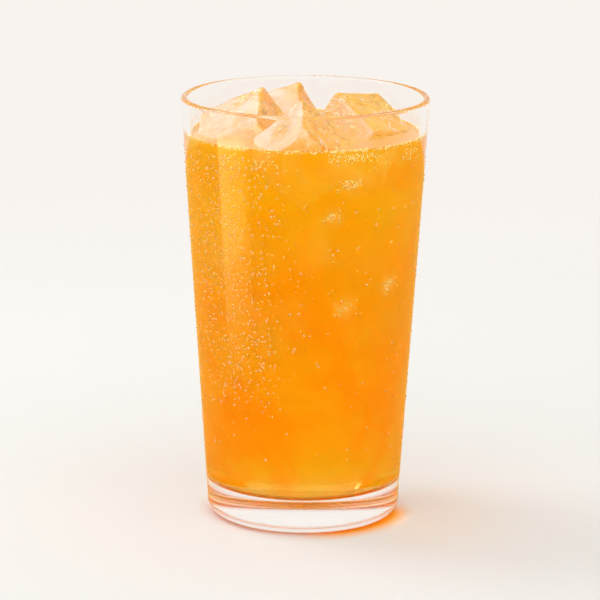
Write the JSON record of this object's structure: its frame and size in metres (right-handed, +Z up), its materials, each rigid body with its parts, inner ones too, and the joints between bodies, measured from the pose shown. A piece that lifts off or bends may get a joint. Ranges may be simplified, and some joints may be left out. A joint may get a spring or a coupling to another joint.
{
  "type": "glass of orange soda",
  "caption": "Tapered clear drinking glass with a thick base, filled with orange soda to just under the rim, with tilted blocks of ice standing out of the drink.",
  "frame": {"origin": "centre of the foot of the glass, on the surface that it stands on", "axes": "+Z up along the glass's own axis, -Y towards the front of the glass, +X to the right seen from the front"},
  "size_m": [0.0864, 0.0864, 0.1527],
  "materials": {
    "glass": "clear polished soda-lime glass",
    "soda": "clear bright orange liquid",
    "ice": "clear wet ice"
  },
  "bodies": {
    "root": {"glass": "glass", "soda": "soda", "ice_left": "ice", "ice_back": "ice", "ice_right": "ice", "ice_middle": "ice"}
  },
  "joints": []
}
